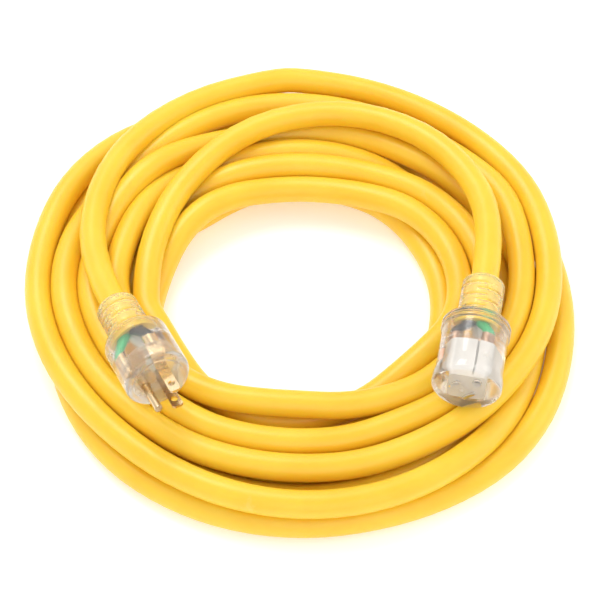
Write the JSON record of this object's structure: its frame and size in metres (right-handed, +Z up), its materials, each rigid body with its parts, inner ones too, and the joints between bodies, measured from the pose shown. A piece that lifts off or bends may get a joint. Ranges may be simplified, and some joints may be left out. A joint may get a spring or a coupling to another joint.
{
  "type": "power extension cord",
  "caption": "Coiled heavy-duty yellow power cord with a clear moulded three-pin plug and a clear three-hole connector, for feeding mains power to a parked caravan or tools.",
  "frame": {"origin": "on the surface that the cord lies on, under the middle of the coil", "axes": "+Z up along the coil's axis, +X from the coil's middle towards the connector, both moulded ends pointing roughly along -Y"},
  "size_m": [0.336, 0.336, 0.0734],
  "materials": {
    "cord_jacket": "satin yellow thermoplastic jacket",
    "clear_moulding": "water-clear glossy vinyl moulding",
    "clear_relief": "clear glossy vinyl over the yellow jacket",
    "clear_insert": "clear polycarbonate",
    "white_carrier": "milky white moulded nylon",
    "brass_pins": "plain polished brass",
    "brass_contacts": "plain pressed brass",
    "copper_strands": "bare copper strands",
    "black_insulation": "black vinyl insulation",
    "white_insulation": "white vinyl insulation",
    "green_insulation": "green vinyl insulation",
    "lamp_glass": "small neon lamp's glass",
    "resistor_coating": "brown lacquered resistor",
    "tinned_wire": "tinned copper wire"
  },
  "bodies": {
    "root": {"connector_body": "clear_moulding", "connector_carrier": "white_carrier", "connector_contact_earth": "brass_contacts", "connector_contact_line": "brass_contacts", "connector_contact_neutral": "brass_contacts", "connector_copper_earth": "copper_strands", "connector_copper_line": "copper_strands", "connector_copper_neutral": "copper_strands", "connector_jacket_end": "cord_jacket", "connector_lead": "cord_jacket", "connector_strain_relief": "clear_relief", "connector_wire_black": "black_insulation", "connector_wire_green": "green_insulation", "connector_wire_white": "white_insulation", "cord_coil": "cord_jacket", "lamp_bulb": "lamp_glass", "lamp_resistor": "resistor_coating", "lamp_wires": "tinned_wire", "plug_blade_line": "brass_pins", "plug_blade_neutral": "brass_pins", "plug_body": "clear_moulding", "plug_bridge": "clear_insert", "plug_copper_earth": "copper_strands", "plug_copper_line": "copper_strands", "plug_copper_neutral": "copper_strands", "plug_earth_pin": "brass_pins", "plug_jacket_end": "cord_jacket", "plug_lead": "cord_jacket", "plug_strain_relief": "clear_relief", "plug_wire_black": "black_insulation", "plug_wire_green": "green_insulation", "plug_wire_white": "white_insulation"}
  },
  "joints": []
}
